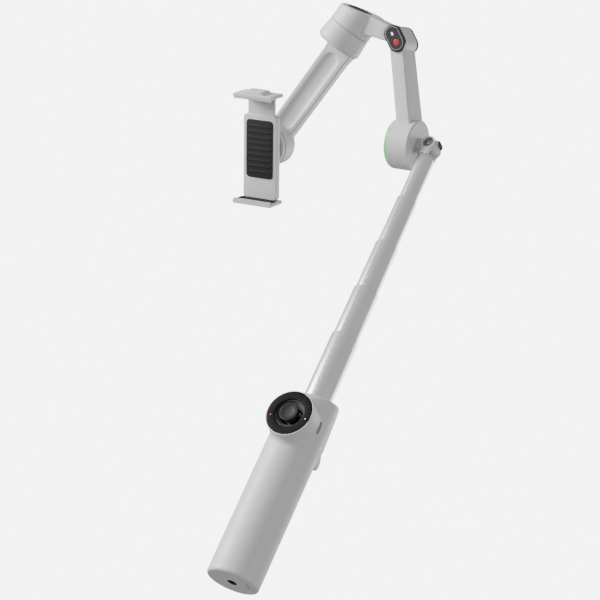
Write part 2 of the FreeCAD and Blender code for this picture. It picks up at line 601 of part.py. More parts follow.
# ---------------------------------------------------------------- clamp
def clamp_mount():
    """Magnetic face, bell and shaft of the clamp motor's rotor."""
    disc = cyl(16.5, 17, 20.5, Y_AXIS)
    bell = ring(14.6, 12.6, 20.0, 30.5, Y_AXIS)
    shaft = cyl(1.46, 20.0, 33.0, Y_AXIS)
    return placed(disc.fuse([bell, shaft]), CLAMP)


def jaw(sign):
    """Shelf with a turned-in front lip and a raised middle."""
    z0, z1 = sorted((sign * JAW_GAP_HALF, sign * (JAW_GAP_HALF + JAW_T)))
    shelf = box((-JAW_HALF_W, -3.0, z0), (JAW_HALF_W, PLATE_Y1, z1))
    lip0, lip1 = sorted((sign * (JAW_GAP_HALF - LIP_DROP), sign * (JAW_GAP_HALF + JAW_T)))
    lip = box((-JAW_HALF_W, -3.0, lip0), (JAW_HALF_W, -0.8, lip1))
    body = shelf.fuse(lip).removeSplitter()
    return rounded(body, 1.6, lambda e: along(Y_AXIS)(e) and abs(e.CenterOfMass.z) > JAW_GAP_HALF + 1)


def clamp_body():
    """Lower jaw and the flat housing in which the upper jaw slides."""
    plate = box((-15, PLATE_Y0, -JAW_GAP_HALF - 1), (15, PLATE_Y1, 26))
    plate = rounded(plate, 3.0, lambda e: along(Y_AXIS)(e) and e.CenterOfMass.z > 0)
    channel = box((-12.2, 10.7, -30), (12.2, 13.3, 27))
    return placed(plate.fuse(jaw(-1)).removeSplitter().cut(channel), CLAMP)


def sliding_jaw():
    side = [V(-12, -2.2, 42), V(12, -2.2, 42), V(8, -2.2, 46.4), V(-8, -2.2, 46.4)]
    hump = Part.Face(Part.makePolygon(side + side[:1])).extrude(V(0, 12.5, 0))
    hump = rounded(hump, 1.5, lambda e: e.CenterOfMass.z > 43)
    tongue = box((-12, 10.85, -3), (12, 13.15, 42))
    slots = [box((s * 8 - 1.7, 9, -0.5), (s * 8 + 1.7, 15, 22.5)) for s in (-1, 1)]
    return placed(jaw(1).fuse([hump, tongue]).removeSplitter().cut(slots), CLAMP)


def pad(sign):
    z0, z1 = sorted((sign * (JAW_GAP_HALF - 0.8), sign * JAW_GAP_HALF))
    return placed(box((-16, -0.7, z0), (16, 8.8, z1)), CLAMP)


springs = [moved(coil(0.9, 0.25, 1.5, 21.0), (s * 8, 12, 0.4)) for s in (-1, 1)]
save("clamp_mount", clamp_mount())
save("tilt_magnets", placed(ring(12.6, 10.6, 22.5, 29.5, Y_AXIS), CLAMP))
save("steel_disc", placed(cyl(14.5, PLATE_Y1, 17.0, Y_AXIS), CLAMP))
save("clamp_body", clamp_body())
save("lower_pad", pad(-1))
save("sliding_jaw", sliding_jaw())
save("upper_pad", pad(1))
save("clamp_springs", placed(Part.makeCompound(springs), CLAMP))
save("back_pad", placed(rounded(box((-12, 8.4, -24), (12, PLATE_Y0, 22)), 3.0, along(Y_AXIS)), CLAMP))
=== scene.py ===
import math

import bmesh
import bpy
from mathutils import Matrix, Vector


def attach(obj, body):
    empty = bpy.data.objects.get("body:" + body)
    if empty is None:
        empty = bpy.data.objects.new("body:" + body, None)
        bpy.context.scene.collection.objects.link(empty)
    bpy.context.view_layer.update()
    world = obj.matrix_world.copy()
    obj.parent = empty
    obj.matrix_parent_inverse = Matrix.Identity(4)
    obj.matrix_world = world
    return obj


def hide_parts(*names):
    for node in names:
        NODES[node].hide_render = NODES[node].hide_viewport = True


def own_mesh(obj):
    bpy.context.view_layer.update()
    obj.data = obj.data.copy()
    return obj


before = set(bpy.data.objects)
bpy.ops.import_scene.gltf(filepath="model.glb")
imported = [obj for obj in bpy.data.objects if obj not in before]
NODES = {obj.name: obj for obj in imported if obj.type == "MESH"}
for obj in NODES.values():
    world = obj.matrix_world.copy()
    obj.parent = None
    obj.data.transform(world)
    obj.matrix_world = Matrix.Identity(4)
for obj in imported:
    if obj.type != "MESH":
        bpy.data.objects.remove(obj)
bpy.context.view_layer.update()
MM = 0.001
CRISP = 0.02

# ------------------------------------------------------------ sizes, mm
HANDLE_H, HANDLE_RX, HANDLE_RY, WALL, BASE_H = 150.8, 20.0, 18.5, 1.8, 9.0
TOP_SLOPE, TOP_EDGE = math.tan(math.radians(11.7)), 3.5
BLOCK_HALF = 12.6
BLOCK_SIDE = [(101.0, 6.0), (106.0, 19.2), (121.8, 22.8), (165.0, 19.0)]
PIN_Y, PIN_Z, PORT_Y, PORT_Z = 18.3, 118.5, -8.8, 125.7
POD_Z, POD_R, POD_FACE = 125.3, 18.3, -24.5
RING_OUT, RING_IN, RING_T = 17.5, 10.9, 2.4
THREAD_R = 3.175
STICK_Y = 4.0
TUBE_R = [10.6, 9.7, 8.8, 7.9, 7.0]
TUBE_TOP = [206.9, 248.4, 289.9, 331.4, 371.0]
TUBE_LENGTH = [65.0, 58.5, 57.0, 56.0, 54.0]
TUBE_WALL, SLIDE_GAP, LIP_H = 0.5, 0.06, 3.0
PIVOT = (0.0, STICK_Y, 381.5)
PAN_R, PAN_FACE, PAN_END, PAN_EDGE, EAR_R = 19.7, -11.0, -32.6, 4.6, 5.7
LIGHT_X, LIGHT_W, LIGHT_MIDDLE, LIGHT_SWEEP = -30.6, 1.9, 228.0, 104.0
ARM_W, ARM_D, ARM_FOOT_D, ARM_LENGTH = 5.8, 10.25, 12.0, 83.3
ARM_START, ARM_SWING, ARM_LEAN = -16.75, 34.0, -14.7
TOP_RISE, TOP_LENGTH, TOP_H, TOP_GROWTH, TOP_LEAN = 27.7, 42.0, 5.7, 2.6, 3.8
COVER_R, COVER_SHIFT = 10.8, -2.4
MODULE_R, MODULE_SPAN, MODULE_LEAN, MODULE_DROP = 7.0, 7.8, 22.0, 1.5
BEZEL_FRONT, BEZEL_BACK = -12.2, -9.65
COVER_FRONT, COVER_BACK = 9.65, 11.8
MOTOR_R, UPPER_H, LOWER_H, ROLL_LEAN, ROLL_TWIST = 17.3, 9.0, 17.0, 43.2, 8.3
LOWER_LENGTH, CLAMP_SHIFT, CLAMP_BACK, CLAMP_TURN = 109.6, 5.4, 28.5, 47.15
GAP_HALF, JAW_W, JAW_T = 40.8, 17.5, 3.0
PLATE_Y0, PLATE_Y1 = 9.0, 15.0
TRIGGER_SPRING_FOOT = Vector((0.0, 15.57, 109.6))
SPRING_X, SPRING_Y, SPRING_Z = 8.0, 12.0, 0.4


# ------------------------------------------------------------ frames
def shift(x, y, z):
    return Matrix.Translation((x, y, z))


def spin(axis, degrees):
    return Matrix.Rotation(math.radians(degrees), 4, axis)


UPRIGHT = Matrix.Identity(4)
ALONG_X, ALONG_Y = spin("Y", 90), spin("X", -90)
STICK = shift(0, STICK_Y, 0)
POD = shift(0, 0, POD_Z)
PAN = shift(*PIVOT)
ARM = shift(ARM_START, PIVOT[1], PIVOT[2]) @ spin("X", ARM_SWING) @ spin("Y", ARM_LEAN)
ELBOW = ARM @ shift(0, 0, ARM_LENGTH)
TOP = ELBOW @ spin("Y", TOP_RISE)
TOP_FACE = TOP @ shift(0, 0, TOP_H) @ spin("Y", TOP_LEAN)
MODULE = ELBOW @ shift(0, 0, -MODULE_DROP) @ spin("Y", -MODULE_LEAN)
lean, twist = math.radians(ROLL_LEAN), math.radians(ROLL_TWIST)
roll_up = Vector((math.sin(lean) * math.cos(twist), math.sin(twist), math.cos(lean) * math.cos(twist)))
top_run = Vector((-math.cos(math.radians(TOP_RISE)), 0, math.sin(math.radians(TOP_RISE))))
ROLL = (
    ELBOW
    @ Matrix.Translation(top_run * TOP_LENGTH - roll_up * UPPER_H)
    @ Vector((0, 0, 1)).rotation_difference(roll_up).to_matrix().to_4x4()
)
ROLL_AXIS = ROLL.col[2].xyz
clamp_motor = ROLL.translation - ROLL_AXIS * LOWER_LENGTH + Vector((CLAMP_SHIFT, 0, 0))
REAR = spin("X", CLAMP_TURN).col[1].xyz
CLAMP = Matrix.Translation(clamp_motor - REAR * CLAMP_BACK) @ spin("X", CLAMP_TURN)
across = (REAR - ROLL_AXIS * REAR.dot(ROLL_AXIS)).normalized()
side = across.cross(ROLL_AXIS)
BAR = Matrix((side, across, ROLL_AXIS)).transposed().to_4x4()
BAR.translation = clamp_motor


# ------------------------------------------------------------ mesh building
def add_object(name, verts, faces, place=UPRIGHT, smooth=35):
    """Mesh in millimetres of a local frame, made into a metre mesh of the row frame."""
    mesh = bpy.data.meshes.new(name)
    mesh.from_pydata([(place @ Vector(v)) * MM for v in verts], [], faces)
    mesh.validate()
    built = bmesh.new()
    built.from_mesh(mesh)
    bmesh.ops.recalc_face_normals(built, faces=built.faces)
    built.to_mesh(mesh)
    built.free()
    obj = bpy.data.objects.new(name, mesh)
    bpy.context.scene.collection.objects.link(obj)
    shade(obj, smooth)
    return obj


def shade(obj, angle=35):
    obj.data.polygons.foreach_set("use_smooth", [True] * len(obj.data.polygons))
    obj.data.set_sharp_from_angle(angle=math.radians(angle))


def disc(radius, count=96):
    return oval(radius, radius, count)


def oval(rx, ry, count=144):
    def outline(inset):
        return [
            ((rx - inset) * math.cos(a), (ry - inset) * math.sin(a))
            for a in (2 * math.pi * i / count for i in range(count))
        ]
    return outline


def rounded_box(half_u, half_v, radius, count=8):
    """Outline of a rectangle with rounded corners."""
    def outline(inset):
        r = max(radius - inset, 0.02)
        u, v = half_u - inset - r, half_v - inset - r
        points = []
        for quarter, (su, sv) in enumerate(((1, 1), (-1, 1), (-1, -1), (1, -1))):
            for i in range(count + 1):
                a = math.pi / 2 * (quarter + i / count)
                points.append((su * u + r * math.cos(a), sv * v + r * math.sin(a)))
        return points
    return outline


def stadium(radius, span, count=32):
    """Two half circles joined by straight sides, long along v."""
    def outline(inset):
        r, points = radius - inset, []
        for start, lift in ((0, span / 2), (math.pi, -span / 2)):
            for i in range(count + 1):
                a = start + math.pi * i / count
                points.append((r * math.cos(a), lift + r * math.sin(a)))
        return points
    return outline


def rounding(height, radius, rising, steps=6):
    """(inset, height) levels of a quarter-round edge that ends at a height."""
    levels = []
    for i in range(steps + 1):
        a = math.pi / 2 * i / steps
        levels.append((radius * (1 - math.cos(a)), height - rising * radius * (1 - math.sin(a))))
    return levels if rising > 0 else levels[::-1]


def block(name, outline, low, high, place=UPRIGHT, edge_low=0.3, edge_high=0.3, smooth=35):
    """Prism along local Z whose two end edges are rounded."""
    levels = rounding(low, edge_low, -1) + rounding(high, edge_high, 1)
    return layered(name, [(outline(inset), h) for inset, h in levels], place, smooth)


def sharp(name, outline, low, high, place=UPRIGHT):
    """Prism along local Z with crisp end edges, mostly for cutting."""
    return block(name, outline, low, high, place, CRISP, CRISP)


def layered(name, layers, place=UPRIGHT, smooth=35):
    """Closed solid through stacked (outline, height) layers with one point count."""
    return skinned(name, [[(u, v, h) for u, v in outline] for outline, h in layers], place, smooth)


def skinned(name, rings, place=UPRIGHT, smooth=35):
    """Closed solid through rings of points, capped at the first and the last ring."""
    count = len(rings[0])
    verts = [tuple(point) for ring in rings for point in ring]
    faces = []
    for k in range(len(rings) - 1):
        for i in range(count):
            j = (i + 1) % count
            faces.append((k * count + i, k * count + j, (k + 1) * count + j, (k + 1) * count + i))
    faces.append(tuple(range(count))[::-1])
    faces.append(tuple(range((len(rings) - 1) * count, len(rings) * count)))
    return add_object(name, verts, faces, place, smooth)


def soften(points, radius, steps=5):
    """Rounds the corners of a closed (r, h) profile; radius is a number or one per corner."""
    result = []
    for i, here in enumerate(points):
        r = radius[i] if isinstance(radius, (list, tuple)) else radius
        here = Vector(here)
        back = Vector(points[i - 1]) - here
        ahead = Vector(points[(i + 1) % len(points)]) - here
        if r <= 0 or here.x == 0:
            result.append(tuple(here))
            continue
        reach = min(r, back.length * 0.48, ahead.length * 0.48)
        a, b = here + back.normalized() * reach, here + ahead.normalized() * reach
        for k in range(steps + 1):
            t = k / steps
            result.append(tuple(a * (1 - t) ** 2 + here * 2 * t * (1 - t) + b * t * t))
    return result


def lathe(name, profile, place=UPRIGHT, count=128, smooth=35, dent=None):
    """Turns a closed (r, h) profile round local Z. dent(angle, r, h) takes off radius."""
    verts, faces, rows = [], [], []
    for r, h in profile:
        if r < 1e-6:
            rows.append([len(verts)] * count)
            verts.append((0, 0, h))
            continue
        rows.append(list(range(len(verts), len(verts) + count)))
        for i in range(count):
            a = 2 * math.pi * i / count
            radius = r - (dent(a, r, h) if dent else 0)
            verts.append((radius * math.cos(a), radius * math.sin(a), h))
    for k, row in enumerate(rows):
        other = rows[(k + 1) % len(rows)]
        if row[0] == row[1] and other[0] == other[1]:
            continue
        for i in range(count):
            j = (i + 1) % count
            face = []
            for index in (row[i], row[j], other[j], other[i]):
                if index not in face:
                    face.append(index)
            faces.append(face)
    return add_object(name, verts, faces, place, smooth)


def baked(obj, smooth=35):
    """Applies every modifier."""
    graph = bpy.context.evaluated_depsgraph_get()
    mesh = bpy.data.meshes.new_from_object(obj.evaluated_get(graph))
    obj.modifiers.clear()
    obj.data = mesh
    shade(obj, smooth)
    return obj


def combine(obj, tools, operation="DIFFERENCE", smooth=35):
    for tool in tools:
        change = obj.modifiers.new("tool", "BOOLEAN")
        change.operation, change.object, change.solver = operation, tool, "EXACT"
        baked(obj, smooth)
    for tool in tools:
        bpy.data.objects.remove(tool)
    return obj


def edged(obj, width, segments=3, angle=40, smooth=35):
    """Rounds the sharp edges of a finished solid."""
    change = obj.modifiers.new("edge", "BEVEL")
    change.width, change.segments = width * MM, segments
    change.limit_method, change.angle_limit = "ANGLE", math.radians(angle)
    change.use_clamp_overlap = True
    return baked(obj, smooth)


def joined(name, parts, smooth=35):
    """One object out of several solids."""
    merged = bmesh.new()
    for part in parts:
        merged.from_mesh(part.data)
        bpy.data.objects.remove(part)
    mesh = bpy.data.meshes.new(name)
    merged.to_mesh(mesh)
    merged.free()
    obj = bpy.data.objects.new(name, mesh)
    bpy.context.scene.collection.objects.link(obj)
    shade(obj, smooth)
    return obj


# ------------------------------------------------------------ materials
def node_tree(name):
    made = bpy.data.materials.new(name)
    made.use_nodes = True
    return made, made.node_tree.nodes, made.node_tree.links, made.node_tree.nodes["Principled BSDF"]


def coordinates(nodes, links, stretch=(1, 1, 1)):
    source = nodes.new("ShaderNodeTexCoord")
    mapping = nodes.new("ShaderNodeMapping")
    mapping.inputs["Scale"].default_value = stretch
    links.new(source.outputs["Object"], mapping.inputs["Vector"])
    return mapping.outputs["Vector"]


def noise(nodes, links, vector, scale, detail=4.0, rough=0.55):
    texture = nodes.new("ShaderNodeTexNoise")
    texture.inputs["Scale"].default_value = scale
    texture.inputs["Detail"].default_value = detail
    texture.inputs["Roughness"].default_value = rough
    links.new(vector, texture.inputs["Vector"])
    return texture.outputs["Fac"]


def ramp(nodes, links, source, stops):
    band = nodes.new("ShaderNodeValToRGB")
    ramp_points = band.color_ramp.elements
    for index, (place, color) in enumerate(stops):
        point = ramp_points[index] if index < 2 else ramp_points.new(place)
        point.position, point.color = place, (*color, 1)
    links.new(source, band.inputs["Fac"])
    return band.outputs["Color"]


def span(nodes, links, source, low, high, start=0.3, end=0.7):
    remap = nodes.new("ShaderNodeMapRange")
    remap.inputs["From Min"].default_value, remap.inputs["From Max"].default_value = start, end
    remap.inputs["To Min"].default_value, remap.inputs["To Max"].default_value = low, high
    links.new(source, remap.inputs["Value"])
    return remap.outputs["Result"]


def bump(nodes, links, shader, height, distance, strength=1.0):
    ridge = nodes.new("ShaderNodeBump")
    ridge.inputs["Distance"].default_value = distance
    ridge.inputs["Strength"].default_value = strength
    links.new(height, ridge.inputs["Height"])
    links.new(ridge.outputs["Normal"], shader.inputs["Normal"])


def surface(name, color, rough, grain, depth, vary=0.06, metallic=0.0, coat=0.0, stretch=(1, 1, 1),
            specular=0.5, rough_span=0.08):
    """Body material: colour drifts slowly, gloss is uneven, and a fine grain is raised."""
    made, nodes, links, shader = node_tree(name)
    plain = coordinates(nodes, links)
    drawn = coordinates(nodes, links, stretch)
    drift = noise(nodes, links, plain, 38, 5)
    dark = tuple(c * (1 - vary) for c in color)
    light = tuple(min(1, c * (1 + vary)) for c in color)
    links.new(ramp(nodes, links, drift, [(0.3, dark), (0.7, light)]), shader.inputs["Base Color"])
    smear = noise(nodes, links, drawn, 140, 6, 0.65)
    links.new(span(nodes, links, smear, rough - rough_span, rough + rough_span), shader.inputs["Roughness"])
    bump(nodes, links, shader, noise(nodes, links, drawn, grain, 3, 0.6), depth)
    shader.inputs["Metallic"].default_value = metallic
    shader.inputs["Coat Weight"].default_value = coat
    shader.inputs["Coat Roughness"].default_value = 0.15
    shader.inputs["Specular IOR Level"].default_value = specular
    return made


def lamp(name, color, strength, base):
    made, nodes, links, shader = node_tree(name)
    vector = coordinates(nodes, links)
    cloud = noise(nodes, links, vector, 900, 3)
    low = tuple(c * 0.82 for c in color)
    links.new(ramp(nodes, links, cloud, [(0.3, low), (0.7, color)]), shader.inputs["Emission Color"])
    links.new(ramp(nodes, links, cloud, [(0.3, base), (0.7, tuple(c * 0.9 for c in base))]),
              shader.inputs["Base Color"])
    shader.inputs["Emission Strength"].default_value = strength
    shader.inputs["Roughness"].default_value = 0.35
    return made


M = {
    "shell": surface("shell", (0.55, 0.553, 0.563), 0.46, 2600, 0.00002, vary=0.025),
    "tube": surface("tube", (0.8, 0.8, 0.805), 0.3, 700, 0.000003, vary=0.03, metallic=0.8,
                    stretch=(6, 6, 0.25), rough_span=0.03),
    "satin": surface("satin", (0.2, 0.2, 0.205), 0.34, 1500, 0.000004, vary=0.08, metallic=0.85),
    "black": surface("black", (0.003, 0.003, 0.0034), 0.42, 1200, 0.000004, vary=0.2, specular=0.06),
    "graphite": surface("graphite", (0.05, 0.05, 0.052), 0.45, 2400, 0.00001, vary=0.15, specular=0.4),
    "bezel": surface("bezel", (0.022, 0.023, 0.025), 0.36, 2000, 0.000004, vary=0.15, coat=0.15,
                     specular=0.3),
    "charcoal": surface("charcoal", (0.007, 0.007, 0.0075), 0.5, 2400, 0.00002, vary=0.15),
    "rubber": surface("rubber", (0.007, 0.007, 0.0075), 0.66, 1800, 0.00003, vary=0.2, specular=0.3),
    "steel": surface("steel", (0.5, 0.5, 0.51), 0.3, 1500, 0.000006, metallic=1.0, stretch=(1, 1, 12)),
    "magnet": surface("magnet", (0.6, 0.6, 0.62), 0.2, 1500, 0.000004, metallic=1.0),
    "copper": surface("copper", (0.42, 0.17, 0.07), 0.4, 2000, 0.00004, metallic=0.6, stretch=(1, 1, 20)),
    "red": surface("red", (0.34, 0.012, 0.01), 0.34, 2200, 0.00001, vary=0.08, coat=0.3),
    "trim": surface("trim", (0.32, 0.32, 0.325), 0.35, 2000, 0.00001, vary=0.05),
    "board": surface("board", (0.01, 0.09, 0.04), 0.4, 1500, 0.00002, vary=0.3),
    "cell": surface("cell", (0.05, 0.12, 0.3), 0.4, 1500, 0.00001, vary=0.1),
    "green_glow": lamp("green_glow", (0.0, 0.5, 0.07), 1.2, (0.01, 0.4, 0.08)),
    # White glow of the ring dot, also used as the painted highlight on the elbow module's window.
    "white_glow_and_painted_highlight": lamp("white_glow_and_painted_highlight", (1.0, 1.0, 0.96), 1.2, (0.85, 0.85, 0.82)),
    "red_glow": lamp("red_glow", (1.0, 0.05, 0.03), 2.0, (0.4, 0.02, 0.02)),
}


def piece(obj, material, body, *replaced):
    """Finishes a piece: its material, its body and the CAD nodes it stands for."""
    obj.data.materials.clear()
    obj.data.materials.append(M[material])
    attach(obj, body)
    if replaced:
        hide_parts(*replaced)
    return obj


# ------------------------------------------------------------ handle
def body_y(x):
    """Front surface of the oval handle at a given x."""
    return -HANDLE_RY * math.sqrt(max(0.0, 1 - (x / HANDLE_RX) ** 2))


def pod_flare():
    """Solid horn from the pod's rim back to the oval body, wider above and below."""
    count, rings = 160, []
    for step in range(13):
        t = step / 12
        ring = []
        for i in range(count):
            a = 2 * math.pi * i / count
            c, s = math.cos(a), math.sin(a)
            reach = POD_R + 1.55 + (4.2 if s < 0 else -0.9) * s * s
            start = Vector((POD_R * c, POD_FACE + 0.6, POD_R * s))
            turn = Vector((POD_R * c, body_y(POD_R * c) - 0.4 * (1 - abs(c)), POD_R * s))
            end = Vector((reach * c, body_y(reach * c) + 0.25, reach * s))
            ring.append(start * (1 - t) ** 2 + turn * 2 * t * (1 - t) + end * t * t)
        rings.append(ring)
    lip = [Vector((p.x * (POD_R - 0.45) / POD_R, POD_FACE, p.z * (POD_R - 0.45) / POD_R)) for p in rings[0]]
    edge = [Vector((p.x * (POD_R - 0.14) / POD_R, POD_FACE + 0.14, p.z * (POD_R - 0.14) / POD_R))
            for p in rings[0]]
    back = [Vector((p.x * 0.9, -1.0, p.z * 0.9)) for p in rings[-1]]
    return skinned("flare", [lip, edge] + rings + [back], POD)


def block_back(z):
    """How far the rear block stands out at a height."""
    for (z0, y0), (z1, y1) in zip(BLOCK_SIDE, BLOCK_SIDE[1:]):
        if z <= z1:
            return y0 + (y1 - y0) * max(0.0, z - z0) / (z1 - z0)
    return BLOCK_SIDE[-1][1]


def top_height(y):
    return HANDLE_H + TOP_SLOPE * y


def column(name, rx, ry, low, drop, with_block, edge, count=240):
    """Upright oval solid under the sloping top face, with the rear block grown out of it."""
    def point(angle, inset, z):
        c, s = math.cos(angle), math.sin(angle)
        reach = 1 / math.hypot(c / rx, s / ry)
        back = block_back(z)
        if with_block and s > 0 and back > 8:
            power = 13
            reach = max(reach, ((abs(c) / BLOCK_HALF) ** power + (s / back) ** power) ** (-1 / power))
        return (reach - inset) * c, (reach - inset) * s

    levels = [(0.15, low, False), (0.0, low + 0.15, False)]
    if with_block:
        levels += [(0.0, 100.5 + 0.8 * k, False) for k in range(8)]
        levels += [(0.0, z, False) for z in (110, 114, 117, 119.5, 121, 122, 123.5, 126, 132, 139)]
    for k in range(9):
        a = math.pi / 2 * k / 8
        levels.append((edge * (1 - math.cos(a)), drop + edge * (1 - math.sin(a)), True))
    rings = []
    for inset, h, sloped in levels:
        ring = []
        for i in range(count):
            a = 2 * math.pi * i / count
            z = h
            if sloped:
                z = top_height(point(a, inset, HANDLE_H)[1]) - h
            ring.append((*point(a, inset, z), z))
        rings.append(ring)
    return skinned(name, rings)


def handle_shell():
    body = column("handle_shell", HANDLE_RX, HANDLE_RY, BASE_H, 0.0, True, TOP_EDGE)
    combine(body, [pod_flare()], "UNION")
    hollow = column("hollow", HANDLE_RX - WALL, HANDLE_RY - WALL, BASE_H - 1, 2.5, False, 1.5, 96)
    cup_r, cup_end = RING_OUT + 0.12, POD_FACE + RING_T + 0.1
    cup_side = [(0, POD_FACE - 1), (cup_r, POD_FACE - 1), (cup_r, cup_end), (0, cup_end)]
    cup = lathe("cup", cup_side, POD @ ALONG_Y)
    well = lathe("well", [(0, POD_FACE), (11.7, POD_FACE), (11.7, -8), (0, -8)], POD @ ALONG_Y, 96)
    window = sharp("window", rounded_box(10.9, 8.0, 1.0), 12, 34, shift(0, 0, 114.6) @ ALONG_Y)
    port = sharp("port", rounded_box(5.0, 1.75, 1.7), 12.6, 26, shift(0, PORT_Y, PORT_Z) @ ALONG_X)
    mouth = sharp("mouth", disc(11.35), 142, 170, STICK)
    combine(body, [hollow, cup, well, window, port, mouth])
    return piece(edged(body, 0.25, 2, 50), "shell", "handle", "handle_shell")


def base_cap():
    levels = rounding(0, 2.0, -1) + [(0.0, BASE_H - 0.12), (0.1, BASE_H - 0.02)]
    levels += [(1.9, BASE_H - 0.02), (1.9, BASE_H + 5)]
    cap = layered("base_cap", [(oval(HANDLE_RX, HANDLE_RY)(i), h) for i, h in levels])
    hole = sharp("hole", disc(5.0, 64), -1, 8.5)
    slot_cut = sharp("slot", rounded_box(0.65, 3.8, 0.62), -1, 1.6, shift(12.9, 0, 0))
    hollow = sharp("hollow", oval(HANDLE_RX - 5, HANDLE_RY - 5, 64), BASE_H, BASE_H + 7)
    combine(cap, [hole, slot_cut, hollow])
    piece(edged(cap, 0.15, 2, 50), "shell", "handle", "base_cap")
    flange = soften([(5.0, 0.0), (5.0, 8.0), (4.0, 8.0), (4.0, 0.0)], [0.15, 0, 0, 0.1])
    piece(lathe("tripod_insert", flange, UPRIGHT, 96, 20), "tube", "handle", "tripod_insert")
    profile, turns, pitch = [(3.98, 0.3), (3.98, 7.9), (THREAD_R, 7.9)], 6, 1.27
    for k in range(turns):
        top = 7.9 - k * pitch
        profile += [(THREAD_R, top), (THREAD_R - 0.02, top - 0.12), (2.55, top - 0.6), (2.55, top - 0.7),
                    (THREAD_R - 0.02, top - 1.15)]
    profile += [(THREAD_R + 0.1, 0.5), (THREAD_R + 0.3, 0.3)]
    piece(lathe("thread", profile, UPRIGHT, 96, 20), "charcoal", "handle")


def controls():
    ring_profile = soften([(RING_OUT, POD_FACE), (RING_OUT, POD_FACE + RING_T), (RING_IN, POD_FACE + RING_T),
                           (RING_IN, POD_FACE)], [0.6, 0, 0, 0.9])
    ring = lathe("touch_ring", ring_profile, POD @ ALONG_Y, 160)
    piece(ring, "black", "handle", "touch_ring")
    bowl = [(10.85, 0.75), (11.5, 3.4), (11.5, 4.9), (7.9, 4.9), (7.9, 4.0), (8.1, 3.5), (8.5, 3.0),
            (9.0, 2.55), (9.6, 2.05), (10.1, 1.55), (10.45, 1.05), (10.6, 0.75)]
    funnel = [(r, POD_FACE + depth) for r, depth in bowl]
    piece(lathe("joystick_funnel", funnel, POD @ ALONG_Y, 128), "graphite", "handle", "joystick_funnel")
    front = POD_FACE - 1.8
    profile = [(0, front + 0.75), (2.0, front + 0.68), (3.6, front + 0.5), (4.8, front + 0.22)]
    for r in (5.1, 5.5, 5.9, 6.3):
        profile += [(r, front + 0.14 - 0.03 * (r - 5)), (r + 0.12, front + 0.02), (r + 0.26, front + 0.02)]
    profile += [(6.85, front + 0.05), (7.12, front + 0.3), (7.2, front + 0.7), (7.15, front + 1.5),
                (6.8, front + 2.0), (2.6, front + 2.1), (2.4, front + 2.6), (2.4, -13.0), (0, -13.0)]
    cap = lathe("joystick_cap", profile, POD @ ALONG_Y, 128, 30)
    piece(cap, "rubber", "joystick", "joystick_cap")
    turns = [math.radians(46 * i / 14) for i in range(15)]
    boot = [(8.8 * math.sin(t), -15 - 8.8 * math.cos(t)) for t in turns]
    boot += [(8.2 * math.sin(t), -15 - 8.2 * math.cos(t)) for t in reversed(turns)]
    piece(lathe("joystick_boot", boot, POD @ ALONG_Y, 96), "rubber", "joystick")
    for number, (angle, material, size) in enumerate(((-9, "white_glow_and_painted_highlight", 0.35), (197, "red_glow", 0.4))):
        a = math.radians(angle)
        place = POD @ shift(14.2 * math.cos(a), 0, 14.2 * math.sin(a)) @ ALONG_Y
        dot = sharp("ring_light_%d" % (number + 1), disc(size, 32), POD_FACE - 0.03, POD_FACE + 0.4, place)
        piece(dot, material, "handle")


def trigger():
    """Finger lever: a smooth side outline, a little hollow across its width."""
    outline = [(16.7, 121.8), (19.4, 122.0), (22.3, 121.5), (24.9, 119.2), (26.9, 116.0), (27.8, 112.9),
               (27.7, 110.4), (26.8, 108.5), (25.2, 107.4), (23.0, 107.2), (20.7, 107.8), (20.2, 109.6),
               (19.9, 111.7), (17.4, 114.8), (16.7, 118.0)]
    smooth_side = []
    for i in range(len(outline)):
        p0, p1, p2, p3 = (Vector(outline[(i + k) % len(outline)]) for k in (-1, 0, 1, 2))
        for t in (0, 0.25, 0.5, 0.75):
            point = 0.5 * (2 * p1 + (p2 - p0) * t + (2 * p0 - 5 * p1 + 4 * p2 - p3) * t * t
                           + (3 * p1 - p0 - 3 * p2 + p3) * t ** 3)
            smooth_side.append(point)
    centre = Vector((22.4, 114.4))
    layers = []
    middle = [(0, -7), (0.3, -4), (0.4, 0), (0.3, 4), (0, 7)]
    for inset, x in rounding(-10.5, 1.2, -1) + middle + rounding(10.5, 1.2, 1):
        ring = []
        for p in smooth_side:
            away = p - centre
            pull = inset / away.length if p.x > 22 or abs(x) > 8.5 else 0.0
            q = p - away * pull
            ring.append((-q.y, q.x))
        layers.append((ring, x))
    lever = layered("trigger", layers, ALONG_X, 40)
    hole = sharp("pin_hole", disc(1.28, 32), -12, 12, shift(0, PIN_Y, PIN_Z) @ ALONG_X)
    combine(lever, [hole])
    piece(edged(lever, 0.2, 2, 60), "shell", "trigger", "trigger")


# ------------------------------------------------------------ stick
def crease(angle, radius):
    """Fine groove along the front of a tube."""
    off = (angle - 1.5 * math.pi) * radius
    return max(0.0, 0.3 * (1 - abs(off) / 0.42))


def tubes():
    for index, radius in enumerate(TUBE_R):
        top, bottom = TUBE_TOP[index], TUBE_TOP[index] - TUBE_LENGTH[index]
        inner = radius - TUBE_WALL
        lip = TUBE_R[index + 1] + SLIDE_GAP if index + 1 < len(TUBE_R) else 0.0
        outer = [(radius, bottom), (radius, top - 0.45), (radius - 0.1, top - 0.15), (radius - 0.3, top)]
        if lip:
            inside = [(lip + 0.12, top), (lip, top - 0.15), (lip, top - LIP_H)]
            inside += [(inner, top - LIP_H), (inner, bottom)]
        else:
            inside = [(0.0, top), (0.0, top - 4), (inner, top - 4), (inner, bottom)]
        profile = outer + inside
        groove = lambda a, r, h, limit=radius: crease(a, r) if r > limit - 0.35 else 0.0
        tube = lathe("tube_%d" % (index + 1), profile, STICK, 720, 28, groove)
        piece(tube, "tube", "section_%d" % (index + 1), "tube_%d" % (index + 1))


